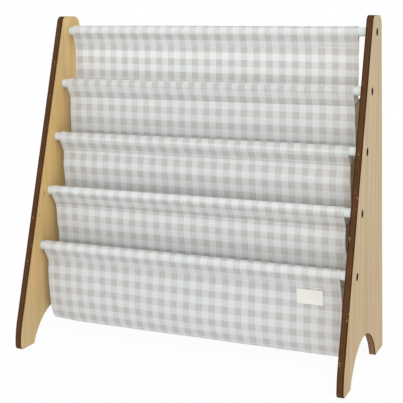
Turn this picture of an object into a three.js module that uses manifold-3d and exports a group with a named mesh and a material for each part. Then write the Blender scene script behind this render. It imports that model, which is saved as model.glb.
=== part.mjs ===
// A nursery sling bookshelf: two raked plywood sides joined by five white bars,
// with a gingham cloth that hangs from bar to bar in four book pockets.
// Millimetres. X runs across the shelf, the front faces -Y and +Z is up.
// The origin is on the floor, under the middle of the shelf.

import * as THREE from "three";
import { mergeVertices } from "three/addons/utils/BufferGeometryUtils.js";
import Module from "manifold-3d";

const wasm = await Module();
wasm.setup();

// Side panels
const overallWidth = 616;
const panelHeight = 610;
const panelDepth = 286;
const panelThickness = 12;
const panelTopDepth = 61;
const frontRake = 174.2;
const heelSetback = 9;
const heelRadius = 150;
const toeRadius = 9;
const topFrontRadius = 14;
const topRearRadius = 18;
const rearToeRadius = 5;
const archChord = 184;
const archRise = 63;
const archForward = 5.5;
const edgeEase = 0.6;

// Bars, with the threaded plug in each end
const barCount = 5;
const barRadius = 8;
const barWall = 1.5;
const topBarDrop = 28.5;
const lowestBarHeight = 180.7;
const barInset = 36.3;
const plugLength = 20;

// Bolts and their stepped holes in the panels
const boltRadius = 3;
const boltReach = 15;
const headRadius = 5.2;
const headHeight = 4.4;
const headChamfer = 0.6;
const socketFlats = 4;
const socketDepth = 2.6;
const boreClearance = 0.4;
const counterboreRadius = 6.2;
const counterboreDepth = 6.5;

// Cloth: the bar left bare at each end, the cloth's thickness and the shape it hangs in
const bareBarLeft = 8;
const bareBarRight = 17.5;
const clothThickness = 1.2;
const seamDrop = 27;
const seamBack = 8;
const wallBack = 17;
const bellyBack = 14;
const bellyRise = 51.7;
const frontWallRise = 71.5;
const pocketDepth = 146.5;
const rippleDepth = 1.4;
const rippleLength = 190;
const rippleFade = 45;

// Label sewn to the front of the lowest pocket
const labelWidth = 45;
const labelHeight = 25;
const labelThickness = 0.6;
const labelFromEdge = 30.5;
const labelDrop = 34;

// Clearances and the overrun that lets a cutter pass a face
const seatGap = 0.3;
const layerGap = 0.5;
const seamGap = 0.6;
const overrun = 1;

// How far each bar's cloth drifts back, from the top bar to the lowest
const driftShares = [0.2, 0.5, 0.9, 1, 0.65];
// Where the ripples start on each bar's cloth, as shares of a ripple
const ripplePhaseShares = [0.1, 0.55, 0.3, 0.8, 0.05];

// Counts of flat faces
const roundSides = 32;
const smallSides = 16;
const socketSides = 6;
const cornerSteps = 6;
const heelSteps = 5;
const archSteps = 28;
const widthSteps = 12;
const wallSteps = 8;
const turnSteps = 6;
const frontSteps = 4;
const wrapSteps = 9;
const labelSteps = 3;

// Finishes
const birch = new THREE.MeshStandardMaterial({ color: 0xd9bd8c, roughness: 0.55, metalness: 0 });
const whitePaint = new THREE.MeshStandardMaterial({ color: 0xeef1f2, roughness: 0.4, metalness: 0.1 });
const darkSteel = new THREE.MeshStandardMaterial({ color: 0x2b2a29, roughness: 0.45, metalness: 0.9 });
const zincSteel = new THREE.MeshStandardMaterial({ color: 0xb9bcc0, roughness: 0.4, metalness: 1 });
const gingham = new THREE.MeshStandardMaterial({ color: 0xd8d5d1, roughness: 0.9, metalness: 0 });
const cream = new THREE.MeshStandardMaterial({ color: 0xf1ecd9, roughness: 0.85, metalness: 0 });

// The line of the panels' front edge, and the bar centres on a line parallel to it
const innerFace = overallWidth / 2 - panelThickness;
const frontLineFoot = -panelDepth / 2 - heelSetback;
const frontLineY = (z) => frontLineFoot + (frontRake * z) / panelHeight;
const barPitch = (panelHeight - topBarDrop - lowestBarHeight) / (barCount - 1);
const bars = Array.from({ length: barCount }, (_, index) => {
  const z = panelHeight - topBarDrop - index * barPitch;
  return { index, y: frontLineY(z) + barInset, z };
});
const lastBar = bars[barCount - 1];
const clothLeft = bareBarLeft - innerFace;
const clothRight = innerFace - bareBarRight;

const model = new THREE.Group();

function addPiece(name, geometry, material) {
  const mesh = new THREE.Mesh(geometry, material);
  mesh.name = name;
  model.add(mesh);
  return mesh;
}

// Keeps only the positions, with shared corners merged and empty triangles left out
function bareMesh(geometry) {
  const bare = new THREE.BufferGeometry();
  const source = geometry.index ? geometry.toNonIndexed() : geometry;
  bare.setAttribute("position", source.getAttribute("position").clone());
  const merged = mergeVertices(bare);
  const corners = merged.index.array;
  const kept = [];
  for (let i = 0; i < corners.length; i += 3) {
    const [a, b, c] = [corners[i], corners[i + 1], corners[i + 2]];
    if (a !== b && b !== c && c !== a) kept.push(a, b, c);
  }
  merged.setIndex(kept);
  return merged;
}

function toSolid(geometry) {
  const merged = bareMesh(geometry);
  return new wasm.Manifold(
    new wasm.Mesh({
      numProp: 3,
      vertProperties: new Float32Array(merged.getAttribute("position").array),
      triVerts: new Uint32Array(merged.index.array),
    })
  );
}

function toGeometry(solid) {
  const mesh = solid.getMesh();
  const geometry = new THREE.BufferGeometry();
  geometry.setAttribute("position", new THREE.BufferAttribute(new Float32Array(mesh.vertProperties), 3));
  geometry.setIndex(Array.from(mesh.triVerts));
  geometry.computeVertexNormals();
  return geometry;
}

function cutAway(geometry, cutters) {
  const solid = cutters.reduce((rest, cutter) => rest.subtract(toSolid(cutter)), toSolid(geometry));
  return toGeometry(solid);
}

// A round profile of [radius, height] pairs, turned so that its height runs along +X or -X
function turnedAlongX(profile, sides, direction) {
  const geometry = new THREE.LatheGeometry(profile.map(([r, h]) => new THREE.Vector2(r, h)), sides);
  return geometry.rotateZ((-direction * Math.PI) / 2);
}

// Points of an arc that rounds one corner of an outline
function roundedCorner(before, corner, after, radius, steps) {
  const toBefore = before.clone().sub(corner).normalize();
  const toAfter = after.clone().sub(corner).normalize();
  const half = Math.acos(THREE.MathUtils.clamp(toBefore.dot(toAfter), -1, 1)) / 2;
  const start = corner.clone().addScaledVector(toBefore, radius / Math.tan(half));
  const towardCentre = toBefore.clone().add(toAfter).normalize();
  const centre = corner.clone().addScaledVector(towardCentre, radius / Math.sin(half));
  const sweep = Math.PI - 2 * half;
  const turn = Math.sign(toAfter.cross(toBefore));
  return Array.from({ length: steps + 1 }, (_, i) =>
    start.clone().rotateAround(centre, (turn * sweep * i) / steps)
  );
}

// The side panel's outline, with Y as its first coordinate and Z as its second
function panelOutline() {
  const front = -panelDepth / 2;
  const topRear = frontLineY(panelHeight) + panelTopDepth;
  const rearLean = Math.atan2(panelHeight, panelDepth / 2 - topRear);
  const rear = panelDepth / 2 + rearToeRadius * (1 / Math.tan(rearLean / 2) - 1);
  const heelHeight = (heelSetback * panelHeight) / frontRake;
  const heelTurn = Math.atan2(frontRake, panelHeight);
  const heelRoom = (heelHeight - toeRadius) / Math.tan(heelTurn / 2);
  const corners = [
    { at: [front, 0], radius: toeRadius, steps: cornerSteps },
    { at: [front, heelHeight], radius: Math.min(heelRadius, heelRoom), steps: heelSteps },
    { at: [frontLineY(panelHeight), panelHeight], radius: topFrontRadius, steps: cornerSteps },
    { at: [topRear, panelHeight], radius: topRearRadius, steps: cornerSteps },
    { at: [rear, 0], radius: rearToeRadius, steps: cornerSteps },
  ].map((corner) => ({ ...corner, at: new THREE.Vector2(...corner.at) }));
  const archRear = new THREE.Vector2(archChord / 2 - archForward, 0);
  const archFront = new THREE.Vector2(-archChord / 2 - archForward, 0);
  const around = [archFront, ...corners.map((corner) => corner.at), archRear];
  const points = corners.flatMap(({ at, radius, steps }, i) =>
    roundedCorner(around[i], at, around[i + 2], radius, steps)
  );
  return [...points, ...archPoints(archRear)];
}

// The foot arch: part of a circle that springs from the floor
function archPoints(start) {
  const radius = (archChord ** 2 / 4 + archRise ** 2) / (2 * archRise);
  const centre = new THREE.Vector2(-archForward, archRise - radius);
  const sweep = 2 * Math.asin(archChord / 2 / radius);
  return Array.from({ length: archSteps + 1 }, (_, i) =>
    start.clone().rotateAround(centre, (sweep * i) / archSteps)
  );
}

// Cutter for one stepped bolt hole, from the panel's inner face out past its outer face
function boltHole(bar, side) {
  const floor = panelThickness - counterboreDepth;
  const hole = boltRadius + boreClearance;
  const profile = [
    [0, -overrun],
    [hole, -overrun],
    [hole, floor],
    [counterboreRadius, floor],
    [counterboreRadius, panelThickness + overrun],
    [0, panelThickness + overrun],
  ];
  return turnedAlongX(profile, smallSides, side).translate(side * innerFace, bar.y, bar.z);
}

function sidePanel(side) {
  const board = new THREE.ExtrudeGeometry(new THREE.Shape(panelOutline()), {
    depth: panelThickness - 2 * edgeEase,
    bevelThickness: edgeEase,
    bevelSize: edgeEase,
    bevelOffset: -edgeEase,
    bevelSegments: 1,
  });
  const acrossDepth = new THREE.Vector3(0, 1, 0);
  const upward = new THREE.Vector3(0, 0, 1);
  const acrossWidth = new THREE.Vector3(1, 0, 0);
  board.applyMatrix4(new THREE.Matrix4().makeBasis(acrossDepth, upward, acrossWidth));
  const middle = side * (innerFace + panelThickness / 2);
  board.translate(middle + edgeEase - panelThickness / 2, 0, 0);
  return cutAway(board, bars.map((bar) => boltHole(bar, side)));
}

function barTube(bar) {
  const end = innerFace - seatGap;
  const bore = barRadius - barWall;
  const profile = [
    [bore, -end],
    [barRadius, -end],
    [barRadius, end],
    [bore, end],
    [bore, -end],
  ];
  return turnedAlongX(profile, roundSides, 1).translate(0, bar.y, bar.z);
}

// Threaded plug, flush with the end of its bar
function barPlug(bar, side) {
  const outer = barRadius - barWall - seatGap;
  const inner = boltRadius + seatGap;
  const profile = [
    [inner, -plugLength],
    [outer, -plugLength],
    [outer, 0],
    [inner, 0],
    [inner, -plugLength],
  ];
  const end = side * (innerFace - seatGap);
  return turnedAlongX(profile, smallSides, side).translate(end, bar.y, bar.z);
}

// Socket-head bolt: its height starts at the seat under the head, with the head outward
function bolt(bar, side) {
  const shank = panelThickness - counterboreDepth + boltReach;
  const profile = [
    [0, -shank],
    [boltRadius - headChamfer, -shank],
    [boltRadius, headChamfer - shank],
    [boltRadius, 0],
    [headRadius, 0],
    [headRadius, headHeight - headChamfer],
    [headRadius - headChamfer, headHeight],
    [0, headHeight],
  ];
  const socketRadius = socketFlats / 2 / Math.cos(Math.PI / socketSides);
  const socket = [
    [0, headHeight - socketDepth],
    [socketRadius, headHeight - socketDepth],
    [socketRadius, headHeight + overrun],
    [0, headHeight + overrun],
  ];
  const body = turnedAlongX(profile, smallSides, side);
  const recess = turnedAlongX(socket, socketSides, side);
  const seat = side * (overallWidth / 2 - counterboreDepth + seatGap);
  return cutAway(body, [recess]).translate(seat, bar.y, bar.z);
}

// A point of a cubic curve through the first and last of four control points
function curvePoint([a, b, c, d], u) {
  return new THREE.CubicBezierCurve(a, b, c, d).getPoint(u);
}

// The curve in which the cloth hangs below one bar's seam
function hangingCurve(bar) {
  const share = driftShares[bar.index];
  const lowest = bar === lastBar;
  const endDrop = lowest ? pocketDepth - frontWallRise : barPitch + pocketDepth - bellyRise;
  const endBack = lowest ? wallBack * share : wallBack * share + bellyBack;
  const at = (back, drop) => new THREE.Vector2(bar.y + back, bar.z - drop);
  const third = (endDrop - seamDrop) / 3;
  return [
    at(seamBack * share, seamDrop),
    at(wallBack * share, seamDrop + third),
    at(wallBack * share, endDrop - third),
    at(endBack, endDrop),
  ];
}

// Evenly spread parts of a stretch, each as a number from start to end
function stretch(start, end, steps) {
  return Array.from({ length: steps + 1 }, (_, i) => start + ((end - start) * i) / steps);
}

// Where a line from a point meets a circle round a bar at its front (-1) or rear (+1) side
function tangentAngle(bar, radius, point, side) {
  const away = point.clone().sub(new THREE.Vector2(bar.y, bar.z));
  return Math.atan2(away.y, away.x) + side * Math.acos(radius / away.length());
}

// The sleeve over a bar, from the seam behind it, up and over, to the seam in front
function sleevePath(bar) {
  const radius = barRadius + seatGap + clothThickness / 2;
  const seam = hangingCurve(bar)[0];
  const behind = seam.clone();
  behind.x += clothThickness + layerGap;
  const rear = tangentAngle(bar, radius, behind, 1);
  const front = tangentAngle(bar, radius, seam, -1) + 2 * Math.PI;
  const wrap = stretch(rear, front, wrapSteps).map(
    (angle) => new THREE.Vector2(bar.y + radius * Math.cos(angle), bar.z + radius * Math.sin(angle))
  );
  return [behind, ...wrap, seam].map((at) => ({ at, rippleBars: [] }));
}

// The strength of the ripples a given way below a bar: none in the sleeve, full in the wall
function rippleFadeIn(bar, z) {
  return THREE.MathUtils.smoothstep(bar.z - z, seamDrop, seamDrop + rippleFade);
}

function wallPoint(bar, at) {
  return { at, rippleBars: [[bar, rippleFadeIn(bar, at.y)]] };
}

// The wall that hangs below a bar, from its seam down to the turn into the pocket's floor
function hangingWall(bar, steps) {
  const curve = hangingCurve(bar);
  return stretch(0, 1, steps).map((u) => wallPoint(bar, curvePoint(curve, u)));
}

// The front wall of a pocket, down from the seam of the bar that carries its front edge:
// on the lowest bar in front of it, and on the others sewn in behind the next sleeve
function pocketFront(bar) {
  if (bar === lastBar) return hangingWall(bar, frontSteps);
  const curve = hangingCurve(bar);
  const height = curve[0].y - curve[3].y;
  const end = (pocketDepth - frontWallRise - seamDrop) / height;
  return stretch(seamGap / height, end, frontSteps).map((u) => {
    const at = curvePoint(curve, u);
    at.x += clothThickness + layerGap;
    return wallPoint(bar, at);
  });
}

// The turn under a pocket, from its rear wall round to its front wall
function pocketFloor(rearBar, frontBar, rear, front) {
  const [rearAbove, rearEnd] = rear.slice(-2).map((point) => point.at);
  const [frontAbove, frontEnd] = front.slice(-2).map((point) => point.at);
  const lowest = new THREE.Vector2((rearEnd.x + frontEnd.x) / 2, frontBar.z - pocketDepth);
  const quarterShare = 0.55;
  const handle = (above, end) => {
    const down = end.clone().sub(above).normalize();
    return end.clone().addScaledVector(down, (end.y - lowest.y) * quarterShare);
  };
  const beside = (end) => new THREE.Vector2(lowest.x + (end.x - lowest.x) * quarterShare, lowest.y);
  const rearTurn = [rearEnd, handle(rearAbove, rearEnd), beside(rearEnd), lowest];
  const frontTurn = [lowest, beside(frontEnd), handle(frontAbove, frontEnd), frontEnd];
  const along = stretch(0, 1, turnSteps);
  const rearPoints = along.slice(1).map((u) => curvePoint(rearTurn, u));
  const frontPoints = along.slice(1, -1).map((u) => curvePoint(frontTurn, u));
  return [...rearPoints, ...frontPoints].map((at, i) => {
    const passed = (i + 1) / (2 * turnSteps);
    return { at, rippleBars: [[rearBar, 1 - passed], [frontBar, passed]] };
  });
}

// One pocket's cloth, from the sleeve on its rear bar down, under and up to its front bar
function slingPath(rearBar) {
  const frontBar = bars[rearBar.index + 1];
  const sleeve = sleevePath(rearBar).slice(0, -1);
  const rear = hangingWall(rearBar, wallSteps);
  const front = pocketFront(frontBar);
  const floor = pocketFloor(rearBar, frontBar, rear, front);
  const end = frontBar === lastBar ? sleevePath(frontBar).reverse().slice(1) : [];
  return [...sleeve, ...rear, ...floor, ...front.reverse(), ...end];
}

function ripple(bar, x) {
  return rippleDepth * Math.sin(2 * Math.PI * (x / rippleLength + ripplePhaseShares[bar.index]));
}

// The path's unit normal at one of its points
function pathNormal(path, i) {
  const before = path[Math.max(i - 1, 0)].at;
  const after = path[Math.min(i + 1, path.length - 1)].at;
  const along = after.clone().sub(before).normalize();
  return new THREE.Vector2(-along.y, along.x);
}

// A closed thin sheet: a path in depth and height, swept across the stations along X
function sheet(path, stations, thickness, lift) {
  const rows = path.length;
  const columns = stations.length;
  const positions = [];
  for (const side of [-1, 1]) {
    path.forEach(({ at, rippleBars }, i) => {
      const offset = pathNormal(path, i).multiplyScalar(lift + (side * thickness) / 2);
      for (const x of stations) {
        const swing = rippleBars.reduce((sum, [bar, strength]) => sum + strength * ripple(bar, x), 0);
        positions.push(x, at.x + offset.x + swing, at.y + offset.y);
      }
    });
  }
  const vertex = (layer, row, column) => (layer * rows + row) * columns + column;
  const faces = [];
  const quad = (a, b, c, d) => faces.push(a, c, b, a, d, c);
  for (let r = 0; r < rows - 1; r += 1) {
    for (let c = 0; c < columns - 1; c += 1) {
      quad(vertex(0, r, c), vertex(0, r, c + 1), vertex(0, r + 1, c + 1), vertex(0, r + 1, c));
      quad(vertex(1, r, c), vertex(1, r + 1, c), vertex(1, r + 1, c + 1), vertex(1, r, c + 1));
    }
    const last = columns - 1;
    quad(vertex(0, r, 0), vertex(0, r + 1, 0), vertex(1, r + 1, 0), vertex(1, r, 0));
    quad(vertex(0, r, last), vertex(1, r, last), vertex(1, r + 1, last), vertex(0, r + 1, last));
  }
  for (let c = 0; c < columns - 1; c += 1) {
    const end = rows - 1;
    quad(vertex(0, 0, c), vertex(1, 0, c), vertex(1, 0, c + 1), vertex(0, 0, c + 1));
    quad(vertex(0, end, c), vertex(0, end, c + 1), vertex(1, end, c + 1), vertex(1, end, c));
  }
  const geometry = new THREE.BufferGeometry();
  geometry.setAttribute("position", new THREE.Float32BufferAttribute(positions, 3));
  geometry.setIndex(faces);
  geometry.computeVertexNormals();
  return geometry;
}

// The label lies on the lowest pocket's front, clear of the flat facets of the ripples
function labelSheet() {
  const curve = hangingCurve(lastBar);
  const height = curve[0].y - curve[3].y;
  const top = (labelDrop - seamDrop) / height;
  const path = stretch(top, top + labelHeight / height, labelSteps).map((u) =>
    wallPoint(lastBar, curvePoint(curve, u))
  );
  const right = clothRight - labelFromEdge;
  const facetWidth = (clothRight - clothLeft) / widthSteps;
  const facetSag = (rippleDepth * ((Math.PI * facetWidth) / rippleLength) ** 2) / 2;
  const lift = clothThickness / 2 + seatGap + facetSag + labelThickness / 2;
  return sheet(path, stretch(right - labelWidth, right, labelSteps), labelThickness, -lift);
}

const sides = [["left", -1], ["right", 1]];
const clothStations = stretch(clothLeft, clothRight, widthSteps);

for (const [word, side] of sides) {
  addPiece(`side_panel_${word}`, sidePanel(side), birch);
}
for (const bar of bars) {
  const number = bar.index + 1;
  addPiece(`bar_${number}`, barTube(bar), whitePaint);
  for (const [word, side] of sides) {
    addPiece(`bar_plug_${number}_${word}`, barPlug(bar, side), zincSteel);
    addPiece(`bolt_${number}_${word}`, bolt(bar, side), darkSteel);
  }
}
for (const bar of bars.slice(0, -1)) {
  const cloth = sheet(slingPath(bar), clothStations, clothThickness, 0);
  addPiece(`sling_${bar.index + 1}`, cloth, gingham);
}
addPiece("label", labelSheet(), cream);

export default model;
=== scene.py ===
"""Looks of the sling bookshelf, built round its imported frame.

Cloth is worked out in millimetres and written to Blender in metres.
"""

import math

import bpy
import numpy as np
from mathutils import Euler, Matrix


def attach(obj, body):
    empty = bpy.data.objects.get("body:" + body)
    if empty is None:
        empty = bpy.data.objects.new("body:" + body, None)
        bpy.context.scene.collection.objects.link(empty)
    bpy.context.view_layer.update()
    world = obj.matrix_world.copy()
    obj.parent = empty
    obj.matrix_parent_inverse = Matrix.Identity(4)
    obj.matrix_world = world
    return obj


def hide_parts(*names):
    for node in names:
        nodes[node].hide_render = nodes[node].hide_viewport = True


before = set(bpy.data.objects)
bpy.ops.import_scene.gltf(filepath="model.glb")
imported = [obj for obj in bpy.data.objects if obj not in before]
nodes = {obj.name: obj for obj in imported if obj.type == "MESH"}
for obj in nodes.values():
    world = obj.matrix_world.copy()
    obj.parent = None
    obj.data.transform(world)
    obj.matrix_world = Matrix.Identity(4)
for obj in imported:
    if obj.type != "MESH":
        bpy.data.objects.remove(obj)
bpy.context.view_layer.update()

# Frame sizes, mm
WIDTH, HEIGHT, BOARD = 616.0, 610.0, 12.0
INNER_FACE = WIDTH / 2 - BOARD
PANEL_MIDDLE = WIDTH / 2 - BOARD / 2
FRONT_FOOT, RAKE_RUN = -152.0, 174.2
BAR_COUNT, BAR_RADIUS = 5, 8.0
TOP_BAR, PITCH, BAR_INSET = 581.5, 100.2, 36.3
BAR_Z = [TOP_BAR - PITCH * i for i in range(BAR_COUNT)]
BARS = [(FRONT_FOOT + RAKE_RUN * z / HEIGHT + BAR_INSET, z) for z in BAR_Z]
LAST = BAR_COUNT - 1

# The cloth's plain hang, mm, and each bar's share of its setback
DRIFT = [0.2, 0.5, 0.9, 1.0, 0.65]
SEAM_DROP, SEAM_BACK = 27.0, 8.0
WALL_BACK, BELLY_BACK = 17.0, 14.0
BELLY_RISE, FRONT_RISE, POCKET = 51.7, 71.5, 148.0
BARE_LEFT, BARE_RIGHT = 8.0, 17.5
LEFT, RIGHT = BARE_LEFT - INNER_FACE, INNER_FACE - BARE_RIGHT
TURN_SHARE = 0.55

# The cloth itself, mm: thickness, hems, the lap of two layers and the flap behind a seam
CLOTH, HEM, LAP, FLAP = 0.6, 10.5, 0.8, 8.0
SLEEVE_GAP = 0.6
SLEEVE = BAR_RADIUS + SLEEVE_GAP + CLOTH / 2
FLAP_BEHIND, LAST_FLAP_BEHIND = 2 * LAP, 2.4 * LAP
HEM_STEP, HEM_STITCH = (10.3, 10.75), 9.0
HEM_RIDGE, RIDGE_END = 0.25, 12.5
STITCH_DIP = 0.12

# Counts of points along the stretches of a cloth's path
FLAP_STEPS, RUN_STEPS, WRAP_POINTS = 12, 30, 60
REAR_POINTS, FRONT_POINTS, TURN_POINTS = 240, 90, 61
# Points across a cloth between its hems, and how far in from its edges they start
MIDDLE_POINTS, MIDDLE_INSET = 142, 16.5

# How far each bar's wall stands in front (-) of the frame's plain curve, at places across:
# first near its seam, then lower down, where only the lowest pocket's front is set apart
ACROSS = np.array([-288, -240, -200, -150, -100, -50, 0, 50, 100, 150, 200, 235, 279.0])
UPPER_SET = [
    np.interp(ACROSS, ACROSS[[0, -1]], [-2.4, 2.0]),
    -2.4 + 0.7 * np.sin(ACROSS / 70),
    -5.4 + 0.8 * np.sin(ACROSS / 85 + 2),
    -4.0 + 0.8 * np.sin(ACROSS / 60 + 1),
    np.array([-8.0, -7.6, -6.0, -2.6, -4.0, -6.6, -7.0, -5.9, -4.5, -2.8, -0.6, 1.4, 2.4]),
]
LOWER_SET = UPPER_SET[:LAST] + [
    np.array([-6.4, -5.4, -3.4, -2.0, -7.6, -11.6, -12.4, -11.0, -8.5, -6.1, -3.5, -1.0, 0.4]),
]

# How far the edges of each bar's cloth lie off their lines (+X), at drops below the bar
LEFT_DROPS = [0, 25, 55, 80, 150]
LEFT_OFF = [(0.8, 1.3, 2.4, 2.4, 2.4), (3.4, 3.7, 3.7, 3.5, 3.5), (1.0, 1.5, 3.5, 4.2, 4.2),
            (0, 0, 2.2, 3.3, 3.5), (-0.4, -0.4, 2.0, 3.0, 3.0)]
RIGHT_DROPS = [25, 85]
RIGHT_OFF = [(-2.6, -2.6), (-1.2, 1.3), (-0.8, 0.9), (-0.5, 0.1), (1.5, 1.5)]
# How far in from each edge that offset reaches
LEFT_REACH, RIGHT_REACH = 60, 45
# A fine wave in both edges: depth, and how far in it reaches
EDGE_WAVE, EDGE_WAVE_REACH = 0.7, 16
# The share of the left edge's offset that the check follows
CHECK_FOLLOWS = [0, 0, 0.5, 0.3, 0.8]
# How much further right the upper pockets' front walls reach, and how far in that shows
POCKET_FLARE, FLARE_REACH = 9.0, 50
# The right corner of those walls, which runs on up inside the sleeve's mouth
CORNER_REACH, CORNER_RUN, CORNER_BACK, CORNER_LIFT = 7, 26, 1.2, 15
# How far the lowest pocket's bottom sags below the frame's, at places across
SAG_AT, SAG = [-288, -240, -180, 0, 120, 279], [-1.3, 1.1, 1.6, 0.5, 1.4, 2.4]
# Where the sag grows: drops below the bar for the cloth, ways below the seam for its check
SAG_DROPS, SAG_WAYS = (60, 144), (33, 115)

# Check phases, mm: dark column or row centre, its change per mm across, and its bow
COLUMN = 24.5
BOW_HALF = 284
SLEEVE_COLUMN = [(15.9, -0.0089), (1.4, -0.0056), (3.5, 0), (23.1, 0), (0.4, 0)]
# What the upper and lower wall add to the sleeve's columns
UPPER_COLUMN = [(0, 0), (0, 0), (-1.5, 0), (-0.9, 0), (0, 0, -1.7)]
LOWER_COLUMN = [(-0.2, 0), (0.3, 0), (-0.5, 0), (0, 0), (0, 0, -1.7)]
SLEEVE_ROW = [(6.7, 0.006), (17.6, 0.0029), (10.2, 0), (22.8, -0.005), (6.0, -0.004)]
WALL_ROW = [(5.2, 0.0095), (18.8, 0.0032), (13.0, 0.0047), (25.3, 0.0042), (7.5, 0.003)]
WALL_PITCH = [25.0, 25.0, 25.2, 24.9, 25.35]
SLEEVE_PITCH = 24.8
# Ways below a seam over which the wall's columns take over, then the lower wall's
WALL_BLEND, LOW_BLEND = (-12, 16), (28, 62)
# How far before and after its rear wall's end the lowest pocket's check changes over
CHANGE_BEFORE, CHANGE_AFTER = 60, 45


def smooth(value, low, high):
    """A soft step from 0 at low to 1 at high."""
    t = np.clip((value - low) / (high - low), 0, 1)
    return t * t * (3 - 2 * t)


def hump(value, middle, reach):
    """A soft hump, 1 high at its middle."""
    return np.exp(-(((value - middle) / reach) ** 2))


def waves(x, seed, lengths, share=0.75):
    """A soft seeded waviness in -1 to 1 made of sines of the given lengths."""
    local = np.random.default_rng(seed)
    total, weight, size = np.zeros_like(np.asarray(x, float)), 0.0, 1.0
    for length in lengths:
        stretch = 1 + 0.2 * local.uniform(-1, 1)
        total = total + size * np.sin(2 * np.pi * (x / (length * stretch) + local.uniform()))
        weight += size
        size *= share
    return total / weight


# Cloth paths
def bezier(points, u):
    a, b, c, d = (np.array(p, float) for p in points)
    u = np.asarray(u)[:, None]
    return (1 - u) ** 3 * a + 3 * (1 - u) ** 2 * u * b + 3 * (1 - u) * u**2 * c + u**3 * d


def hanging(bar):
    """The control points, in depth and height, of the curve that hangs below a bar's seam."""
    y, z = BARS[bar]
    lowest = bar == LAST
    end = POCKET - FRONT_RISE if lowest else PITCH + POCKET - BELLY_RISE
    back = WALL_BACK * DRIFT[bar] + (0 if lowest else BELLY_BACK)
    third = (end - SEAM_DROP) / 3
    return np.array([
        (y + SEAM_BACK * DRIFT[bar], z - SEAM_DROP),
        (y + WALL_BACK * DRIFT[bar], z - SEAM_DROP - third),
        (y + WALL_BACK * DRIFT[bar], z - end + third),
        (y + back, z - end),
    ])


def line(start, end, count):
    return np.linspace(start, end, count + 1)


def sleeve(bar, behind_by):
    """The sleeve from the lower end of its rear flap, up, over the bar and down to the seam."""
    centre = np.array(BARS[bar])
    curve = hanging(bar)
    seam = curve[0]
    behind = seam + (behind_by, 0)
    down = (curve[1] - curve[0]) / np.linalg.norm(curve[1] - curve[0])

    def tangent(point, side):
        away = point - centre
        return math.atan2(away[1], away[0]) + side * math.acos(SLEEVE / np.linalg.norm(away))

    angles = np.linspace(tangent(behind, 1), tangent(seam, -1) + 2 * math.pi, WRAP_POINTS)
    wrap = centre + SLEEVE * np.stack([np.cos(angles), np.sin(angles)], 1)
    return np.vstack([
        line(behind + down * FLAP, behind, FLAP_STEPS)[:-1],
        line(behind, wrap[0], RUN_STEPS)[:-1],
        wrap,
        line(wrap[-1], seam, RUN_STEPS)[1:],
    ])


def floor_turns(rear, front, lowest_z):
    """The turn under a pocket: from the rear wall's end down and up to the front wall's end."""
    rear_end, front_end = rear[-1], front[-1]
    lowest = np.array([(rear_end[0] + front_end[0]) / 2, lowest_z])

    def handle(wall, end):
        shortly_before = wall[-6]
        way = (end - shortly_before) / np.linalg.norm(end - shortly_before)
        return end + way * (end[1] - lowest[1]) * TURN_SHARE

    def beside(end):
        return np.array([lowest[0] + (end[0] - lowest[0]) * TURN_SHARE, lowest[1]])

    u = np.linspace(0, 1, TURN_POINTS)
    one = bezier([rear_end, handle(rear, rear_end), beside(rear_end), lowest], u)
    two = bezier([lowest, beside(front_end), handle(front, front_end), front_end], u)
    return np.vstack([one[1:], two[1:-1]])


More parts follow.
